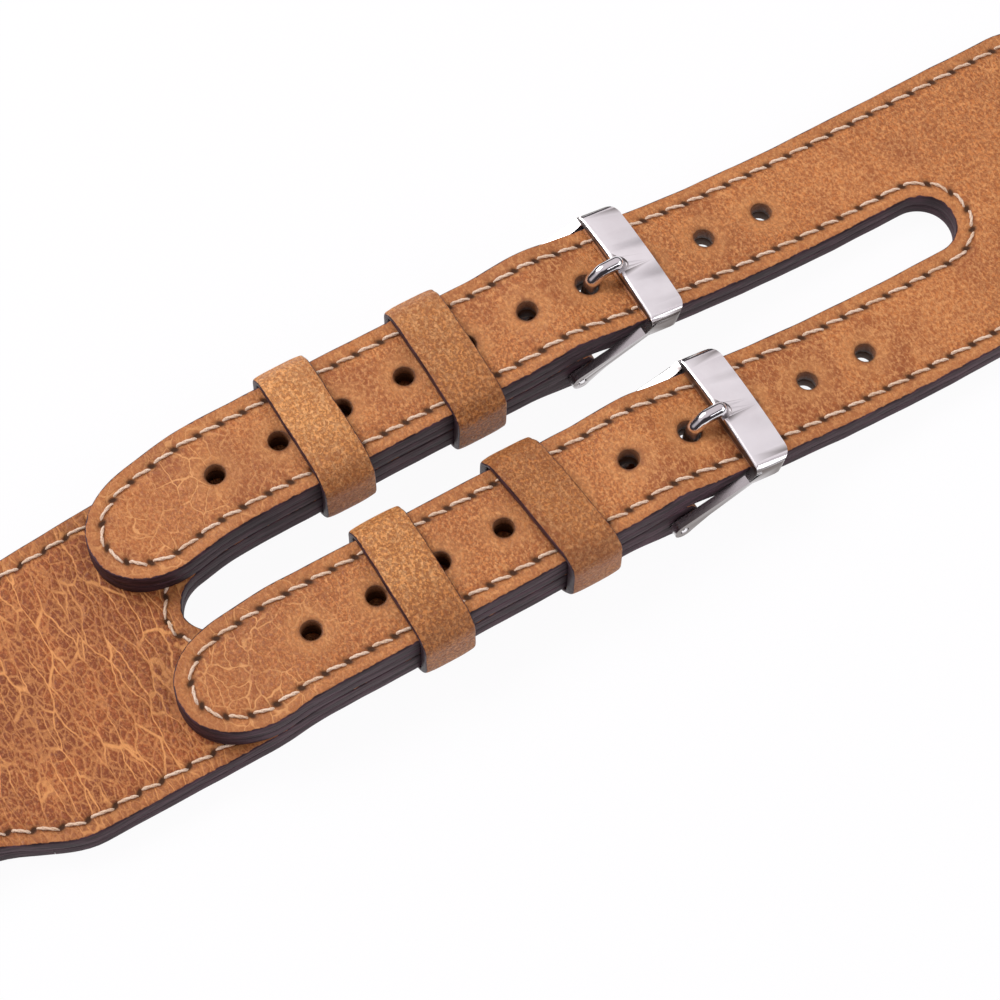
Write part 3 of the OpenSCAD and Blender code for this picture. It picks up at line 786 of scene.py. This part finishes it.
# The height of the long half's face is the sum of two lists of stations, sampled into one
samples = np.linspace(tip_x, watch_x, 240)
levels = height(long_under, samples) + height(long_rise, samples)
slopes = np.gradient(levels, samples)
long_upper = tuple(zip(samples, levels, slopes))

long_pattern = long_shape(0, fold_back)
long_line = from_watch_end(long_shape(watch_seam, 0, stitch_inset))
long_awls, long_length = awl_places(long_line, stitch_pitch, 12)
hole_widths = [hole_d + (opened_by if k == buckled else 0.0) for k in range(10)]
tail_holes = [
    (first_hole_x + k * hole_pitch, side * strap_y, wide, wide)
    for side in (-1, 1) for k, wide in enumerate(hole_widths)
]


def long_folds(x):
    return x.step(0.046, 0.066) * 0.5 + 0.06


def long_cracks(x):
    return x.step(-0.022, -0.040) * 0.95 + x.step(0.022, 0.040) * 0.25 + 0.05


long_face = cut_sheet(
    "long_face_leather", long_pattern, tail_holes, face_t, outer_rim, glued_rim, face_grid,
)
dress(long_face, long_pattern, long_line, long_awls, tail_holes, face_t, fold_long, True)
long_face.data.materials.append(face_finish(
    "waxed_leather_long", srgb(198, 121, 63), srgb(146, 77, 38), srgb(236, 170, 108),
    long_folds, long_cracks,
))
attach(long_face, "band")
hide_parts("long_top_leather")

# Long half, lining: like the short half's, with the same holes punched through
# both layers at once.
def lay_long(s, t):
    return lay(s, t, long_under)


long_lining_pattern = long_shape(fold_back + glue_gap, 0)
long_lining = cut_sheet(
    "long_lining_leather", long_lining_pattern, tail_holes, lining_t, glued_rim, outer_rim, lining_grid,
)
dress(long_lining, long_lining_pattern, long_line, long_awls, tail_holes, lining_t, lay_long, False)
long_lining.data.materials.append(short_lining.data.materials[0])
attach(long_lining, "band")
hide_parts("long_lining")

# Sewing: waxed cream linen thread of two plies, sewn by hand with two needles, so
# that every stitch lies a little aslant and dives into an awl hole at each end.
thread_r = 0.188
face_lift = 0.07
back_lift = -0.18


def stitch_form():
    """One stitch along X from 0 to 1, with a round section of radius 1."""
    bpy.ops.object.select_all(action="DESELECT")
    bpy.ops.mesh.primitive_cylinder_add(
        vertices=8, radius=1, depth=1, end_fill_type="TRIFAN",
        rotation=(0, math.pi / 2, 0), location=(0.5, 0, 0),
    )
    stitch = bpy.context.object
    bpy.ops.object.transform_apply(location=True, rotation=True, scale=False)
    edit(stitch)
    for k in range(1, 10):
        slice_all((k / 10, 0, 0), (1, 0, 0))
    bpy.ops.object.mode_set(mode="OBJECT")
    points = np.array([v.co[:] for v in stitch.data.vertices])
    faces = [tuple(p.vertices) for p in stitch.data.polygons]
    bpy.data.objects.remove(stitch)
    return points, faces


def sew(name, line, awls, length, place, t, lift):
    """All the stitches on one side of a half, as one piece."""
    points, faces = stitch_form()
    closed = np.array(line + [line[0]])
    lengths = np.concatenate(([0], np.cumsum(np.hypot(*np.diff(closed, axis=0).T))))
    draw = random.Random(name)
    a = points[:, 0]
    angle = np.arctan2(points[:, 2], points[:, 1])
    round_r = np.hypot(points[:, 1], points[:, 2])
    ends = np.abs(2 * a - 1)
    made, folds, painted_ply_shades = [], [], []
    for k, start in enumerate(awls):
        end = awls[k + 1] if k + 1 < len(awls) else length + awls[0]
        reach = (start + 0.26) + (end - start - 0.42) * a
        lean = 0.17 + draw.uniform(-0.03, 0.05)
        off = lean * (1 - 2 * a)
        x = np.interp(reach % length, lengths, closed[:, 0])
        y = np.interp(reach % length, lengths, closed[:, 1])
        dx = np.interp((reach + 0.3) % length, lengths, closed[:, 0]) - x
        dy = np.interp((reach + 0.3) % length, lengths, closed[:, 1]) - y
        run = np.hypot(dx, dy)
        dx, dy = dx / run, dy / run
        ply = np.cos(2 * (angle - a * 8.0 - k))
        thick = thread_r * (1 - ends ** 5 * 0.45) * (0.80 + 0.20 * ply)
        # Painted shade in the valleys between the two plies.
        painted_ply_shades.append(0.5 - 0.5 * ply)
        sideways = off + round_r * thick * np.cos(angle)
        up = lift + draw.uniform(-0.02, 0.02) - 0.34 * ends ** 4 + round_r * thick * np.sin(angle)
        x = x - dy * sideways
        y = y + dx * sideways
        px, pz, out_x, out_z = place(x, np.full(len(x), float(t)))
        made.append(np.stack((px + out_x * up, tail_bend(px, y), pz + out_z * up), axis=1))
        folds += [tuple(v + k * len(points) for v in face) for face in faces]
    mesh = bpy.data.meshes.new(name)
    mesh.from_pydata((np.concatenate(made) * mm).tolist(), [], folds)
    thread = add_to_scene(name, mesh)
    note(thread, "groove", np.concatenate(painted_ply_shades))
    smooth(thread, 60)
    thread.data.materials.append(thread_finish)
    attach(thread, "band")


thread_finish, thread_shader, shade = finish("waxed_linen_thread", Roughness=0.6)
thread_shader.inputs["Sheen Weight"].default_value = 0.2
soil = shade.place().noise(420.0).step(0.4, 0.72)
fibre = shade.place().noise(5200.0, 2.0)
# Painted shade: the thread is coloured darker in the valleys between its plies.
groove = attribute(shade, "groove").step(0.45, 1.0)
strand = shade.blend(fibre, srgb(222, 190, 164), srgb(244, 220, 198))
strand = shade.blend(soil * 0.6, strand, srgb(208, 168, 132))
shade.feed(thread_shader.inputs["Base Color"], shade.blend(groove * 0.7, strand, srgb(158, 112, 78)))
fibre.bump(thread_shader, 0.4, 0.05)
sew("short_face_stitches", short_line, short_awls, short_length, fold_short, 1, face_lift)
sew("short_back_stitches", short_line, short_awls, short_length, lay_short, 0, back_lift)
sew("long_face_stitches", long_line, long_awls, long_length, fold_long, 1, face_lift)
sew("long_back_stitches", long_line, long_awls, long_length, lay_long, 0, back_lift)

# Keepers: strips of the same leather, closed to loops round leg and tail with their
# ends butted underneath, and painted along both edges. One loop of each strap is
# sewn in place, and the other slides.
keeper_wide = 5.4
keeper_t = 1.2
keeper_mid_z = 4.4
keeper_inside = (6.25, 1.25, 7.55, 0.5)
corner_y, corner_z = 5.75, 2.65
outer_y, outer_z = 7.45, 4.35
outer_r = 1.7
keeper_grain = 3000


def keeper_round(half_wide, low, high, r):
    """Points round a keeper's inside, seen along the strap, from the middle of its underside."""
    corners = ((half_wide - r, low + r, -90), (half_wide - r, high - r, 0),
               (r - half_wide, high - r, 90), (r - half_wide, low + r, 180))
    loop = []
    for y, z, first in corners:
        for angle in np.radians(np.linspace(first, first + 90, 7)):
            loop.append((y + r * math.cos(angle), z + r * math.sin(angle)))
    spaced = []
    for (y0, z0), (y1, z1) in zip(loop, loop[1:] + loop[:1]):
        parts = max(1, int(math.hypot(y1 - y0, z1 - z0) / 0.45))
        spaced += [(y0 + (y1 - y0) * k / parts, z0 + (z1 - z0) * k / parts) for k in range(parts)]
    return spaced


def keeper_finish():
    material, shader, shade, colour, bumps, mottle = leather(
        "waxed_leather_keepers", srgb(232, 158, 90), srgb(172, 102, 54), srgb(252, 192, 132),
        lambda x: x * 0.0, lambda x: x * 0.0 + 0.12, keeper_grain,
    )
    # Painted shade: the keepers are darkened overall, and most on their near sides, where less light falls.
    colour = shade.blend(attribute(shade, "tan"), colour, srgb(196, 176, 160), "MULTIPLY")
    colour, painted, strokes = edge_paint(shade, colour, 0.10)
    shade.feed(shader.inputs["Base Color"], colour)
    shade.feed(shader.inputs["Roughness"], 0.44 + mottle * 0.10)
    lift = bumps * (1 - painted) + strokes * painted * 0.8
    lift.bump(shader, 0.8, 0.18)
    return material


def make_keeper(name, x_mid, askew, side, node, body, tan, seed):
    """A keeper round a strap, darkened by painted shade: one value for how dark its far end is painted, and
    one for how much darker its near end, where less light falls.
    """
    loop = keeper_round(*keeper_inside)
    bpy.ops.object.select_all(action="DESELECT")
    bpy.ops.mesh.primitive_circle_add(vertices=len(loop))
    keeper = bpy.context.object
    keeper.name = name
    for vertex, (y, z) in zip(keeper.data.vertices, loop):
        vertex.co = (x_mid - keeper_wide / 2, side * strap_y + y, z)
    edit(keeper)
    bpy.ops.mesh.extrude_region_move(TRANSFORM_OT_translate={"value": (keeper_wide, 0, 0)})
    for k in range(1, 12):
        slice_all((x_mid + keeper_wide * (k / 12 - 0.5), 0, 0), (1, 0, 0))
    bpy.ops.mesh.select_all(action="SELECT")
    bpy.ops.mesh.normals_make_consistent(inside=False)
    bpy.ops.object.mode_set(mode="OBJECT")
    wall = keeper.modifiers.new("wall", "SOLIDIFY")
    wall.thickness = keeper_t
    wall.offset = 1
    wall.use_even_offset = True
    bpy.ops.object.modifier_apply(modifier="wall")
    round_rims(keeper, 0.2, 60)

    points = points_of(keeper)
    away = points[:, 1:] - np.array((side * strap_y, keeper_mid_z))
    inner_y = np.clip(away[:, 0], -corner_y, corner_y)
    inner_z = np.clip(away[:, 1], -corner_z, corner_z)
    bulge = np.hypot(away[:, 0] - inner_y, away[:, 1] - inner_z)
    outside = ease((bulge - 0.5) / keeper_t)
    from_mid = (points[:, 0] - x_mid) / (keeper_wide / 2)
    sunk = -0.16 * from_mid ** 4 + 0.03 * ripple(points[:, 0], points[:, 1], points[:, 2], 2.2, seed)
    across_top = np.clip(away[:, 1] - 2.6, 0, 1) * -0.30 * (away[:, 0] / 6.9) ** 2
    way = np.stack((away[:, 0] - inner_y, away[:, 1] - inner_z), axis=1) / np.maximum(bulge, 1e-6)[:, None]
    # The outside is worn to a larger radius than the stiff inside corner
    shoulder = np.where(away[:, 1] > 0, 2.7, 3.1)
    past = np.stack((np.abs(inner_y) - outer_y + shoulder, np.abs(inner_z) - outer_z + shoulder), axis=1)
    past = past.clip(0)
    along = (past * np.abs(way)).sum(axis=1)
    reach = np.sqrt(along ** 2 - (past ** 2).sum(axis=1) + shoulder ** 2) - along
    points[:, 1:] += way * ((sunk + reach - outer_r) * outside)[:, None]
    points[:, 2] += across_top * outside
    butt = np.exp(-((away[:, 0] / 0.12) ** 2)) * (away[:, 1] < -3) * outside
    points[:, 2] += 0.12 * butt
    uneven = ripple(points[:, 1], points[:, 2], points[:, 0] * 0, 3.0, seed + 5)
    points[:, 0] += 0.06 * uneven * np.abs(from_mid)
    points[:, 0] -= askew * away[:, 0] / 7.4
    rim = np.where(bulge > 1.66, (1 - np.abs(from_mid)) * keeper_wide / 2, -0.3)
    rim = np.where((bulge < 0.56) & (np.abs(from_mid) < 0.9), 1.0, rim)
    keeper.data.vertices.foreach_set("co", (points * mm).ravel())
    note(keeper, "rim", rim)
    # Painted shade, growing darker towards the strap's near side, where less light falls.
    note(keeper, "tan", tan[0] + tan[1] * ease((1 - away[:, 0]) / 7))
    smooth(keeper, 50)
    keeper.data.materials.append(keeper_leather)
    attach(keeper, body)
    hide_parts(node)


keeper_leather = keeper_finish()
# The pair of values before each seed is that keeper's painted shade.
make_keeper("far_fixed_loop", -9.05, 0.0, 1, "far_fixed_keeper", "band", (0.40, 0.30), 4.0)
make_keeper("near_fixed_loop", -8.4, 0.8, -1, "near_fixed_keeper", "band", (0.70, 0.0), 2.0)
make_keeper("far_sliding_loop", -23.5, 0.0, 1, "far_sliding_keeper", "far_keeper", (0.0, 0.35), 9.0)
make_keeper("near_sliding_loop", -23.5, 0.0, -1, "near_sliding_keeper", "near_keeper", (0.20, 0.60), 7.0)

# Buckle frames: cast steel, brushed on the crowned plate and polished on its
# rims, side walls and arms. The arms' round lugs turn on the bar in the leg's fold.
bar_z = 2.6
plate_x = 9.9


def steel_finish(name, brushed):
    """Bright steel: brushed pieces note where they are satin, and where dark reflections and shade are
    painted into the colour.
    """
    material, shader, shade = finish(name, Metallic=1.0)
    hairs = shade.place().stretched((6, 0.6, 1)).noise(2200.0)
    haze = shade.place().noise(260.0)
    tone = shade.blend(haze.step(0.3, 0.75), (0.92, 0.90, 0.92, 1), (0.84, 0.81, 0.83, 1))
    if brushed:
        satin = attribute(shade, "satin")
        skin = attribute(shade, "skin")
        # Painted reflection and shade: side walls and arms are painted dark as if they mirrored the dark
        # room, and the plate's inner wall and underside are painted shade.
        shade.feed(shader.inputs["Base Color"], shade.blend(skin, tone, (0.16, 0.13, 0.12, 1)))
        rough = 0.07 + satin * (0.45 + hairs * 0.10) + skin * 0.3 + haze * 0.04
        shade.feed(shader.inputs["Roughness"], rough)
        lift = hairs * satin + haze * 0.3
    else:
        shade.feed(shader.inputs["Base Color"], tone)
        shade.feed(shader.inputs["Roughness"], 0.07 + haze * 0.06)
        lift = haze
    lift.bump(shader, 0.12, 0.02)
    return material


def polished_copy(node, name, rim, material, reshape, rounded=None, round_by=0.0):
    """A copy of a cast or bent node, changed by reshape, with its sharp rims rounded.
    The edges that rounded picks are rounded by round_by, and the others by rim."""
    copy = add_to_scene(name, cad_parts[node].data.copy())
    copy.data.transform(Matrix.Scale(1000, 4))
    edit(copy)
    bpy.ops.mesh.customdata_custom_splitnormals_clear()
    bpy.ops.mesh.remove_doubles(threshold=0.002)
    bpy.ops.mesh.dissolve_limited(angle_limit=math.radians(0.2))
    bpy.ops.object.mode_set(mode="OBJECT")
    reshape(copy)
    if rounded:
        edit(copy, rounded)
        bpy.ops.mesh.bevel(offset=round_by, segments=5, affect="EDGES")
    bpy.ops.object.mode_set(mode="OBJECT")
    round_rims(copy, rim, 32)
    copy.data.transform(Matrix.Scale(mm, 4))
    bpy.ops.object.shade_smooth_by_angle(angle=math.radians(40))
    copy.data.materials.clear()
    copy.data.materials.append(material)
    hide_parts(node)
    return copy


def slender_arms(sheet):
    """Draws the lugs and the arms in to their worn section, the near arm a little lower."""
    points = points_of(sheet)
    x = points[:, 0] - bar_x
    z = points[:, 2] - bar_z
    reach = np.hypot(x, z)
    lug = ((reach > 0.9) & (reach < 1.8))[:, None]
    points[:, 0::2] -= np.where(lug, np.stack((x, z), axis=1) * 0.38, 0.0)
    far_side = points[:, 1] > points[:, 1].mean()
    under_arm = np.hypot(points[:, 0] - 5.0, points[:, 2] - 2.78) < 0.2
    above_arm = np.hypot(points[:, 0] - 9.5, points[:, 2] - 6.66) < 0.2
    points[:, 2] += under_arm * np.where(far_side, 0.80, 0.42) - above_arm * np.where(far_side, 0.60, 1.0)
    points[:, 0] -= above_arm * 0.15
    sheet.data.vertices.foreach_set("co", points.ravel())
    sheet.data.update()


def plate_inner_edge(edge):
    normals = [face.normal for face in edge.link_faces]
    if len(normals) != 2 or not all(9.8 < vertex.co.x < 10.6 for vertex in edge.verts):
        return False
    return max(n.z for n in normals) > 0.9 and min(n.x for n in normals) < -0.9


frame_steel = steel_finish("brushed_and_polished_steel", True)
for which in ("far", "near"):
    buckle = polished_copy(
        f"{which}_buckle_frame", f"{which}_frame", 0.12, frame_steel,
        slender_arms, plate_inner_edge, 0.3,
    )
    satin = buckle.data.attributes.new("satin", "FLOAT", "FACE")
    for polygon in buckle.data.polygons:
        satin.data[polygon.index].value = float(polygon.center.x > plate_x * mm and polygon.normal.z > 0.93)
    # Painted reflection: the dark colour on side walls and arms stands in for the dark room mirrored there;
    # the plate's inner front wall and underside get painted shade.
    skin = buckle.data.attributes.new("skin", "FLOAT", "POINT")
    for vertex in buckle.data.vertices:
        plate = vertex.co.x > plate_x * mm
        in_painted_shade = plate and (vertex.normal.x < -0.8 or vertex.normal.z < -0.5)
        aside = abs(vertex.normal.y)
        # The darkness set here is painted reflection, not wear of the steel. It is strongest where faces turn
        # sideways.
        if plate:
            worn = float(ease((aside - 0.3) / 0.5)) * 0.92
        else:
            worn = 0.34 + 0.6 * math.exp(-((aside - 0.62) / 0.2) ** 2)
        skin.data[vertex.index].value = 1.0 if in_painted_shade else worn
    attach(buckle, f"{which}_frame")

# Tongues: bent steel wire, polished, with an eye that is rolled round the bar. The
# shank stands up through the buckled hole, climbs aslant and lies down on the plate.
wire_r = 0.74
wire_sides = 24
bend_steps = 12


def wire_line(x, z, heading, runs):
    """Places and headings along a wire that is given as runs of length and turn."""
    line = [(x, z, heading)]
    for length, turned in runs:
        for _ in range(bend_steps):
            heading -= turned / (2 * bend_steps)
            x += math.cos(heading) * length / bend_steps
            z += math.sin(heading) * length / bend_steps
            heading -= turned / (2 * bend_steps)
            line.append((x, z, heading))
    return line


def wire(name, line, y, radius):
    """A wire along a line, with a rounded tip."""
    rings = [(x, z, heading, radius) for x, z, heading in line]
    last_x, last_z, heading = line[-1]
    for angle in np.radians((75, 60, 45, 30, 15)):
        past = radius * math.cos(angle)
        rings.append((
            last_x + past * math.cos(heading), last_z + past * math.sin(heading),
            heading, radius * math.sin(angle),
        ))
    points, faces = [], []
    for x, z, heading, reach in rings:
        for angle in np.radians(np.arange(0, 360, 360 // wire_sides)):
            off = reach * math.cos(angle)
            points.append((
                x - off * math.sin(heading), y + reach * math.sin(angle), z + off * math.cos(heading),
            ))
    for first in range(0, len(points) - wire_sides, wire_sides):
        for k in range(wire_sides):
            a, b = first + k, first + (k + 1) % wire_sides
            faces.append((a, b, b + wire_sides, a + wire_sides))
    faces += [tuple(range(wire_sides)), tuple(range(len(points) - wire_sides, len(points)))]
    mesh = bpy.data.meshes.new(name)
    mesh.from_pydata((np.array(points) * mm).tolist(), [], faces)
    made = add_to_scene(name, mesh)
    smooth(made, 40)
    return made


def keep_eye(sheet):
    """Leaves the eye and the start of the shank, which lie in the leather's fold."""
    edit(sheet)
    bpy.ops.mesh.bisect(plane_co=(5.5, 0, 0), plane_no=(1, 0, 0), clear_outer=True, use_fill=True)


tongue_steel = steel_finish("polished_wire", False)
bent = wire_line(5.4, 2.2, 0, (
    (0.48, 0), (1.431, -math.radians(82)), (3.56, 0), (0.63, math.radians(40)),
    (0.88, 0), (0.733, math.radians(42)), (1.3, 0),
))
for which, side in (("far", 1), ("near", -1)):
    shank = wire(f"{which}_tongue_shank", bent, side * strap_y, wire_r)
    shank.data.materials.append(tongue_steel)
    tongue = polished_copy(
        f"{which}_buckle_tongue", f"{which}_tongue", 0.1, tongue_steel, keep_eye,
    )
    bpy.ops.object.select_all(action="DESELECT")
    shank.select_set(True)
    tongue.select_set(True)
    bpy.context.view_layer.objects.active = tongue
    bpy.ops.object.join()
    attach(tongue, f"{which}_tongue")

# Bars: thin steel tubes with turned tips, pushed apart by a coil spring inside.
# They are the nodes themselves, in a steel of their own.
bar_steel = steel_finish("turned_steel", False)
for name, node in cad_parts.items():
    if "bar" in name:
        for cell in node.material_slots:
            cell.material = bar_steel
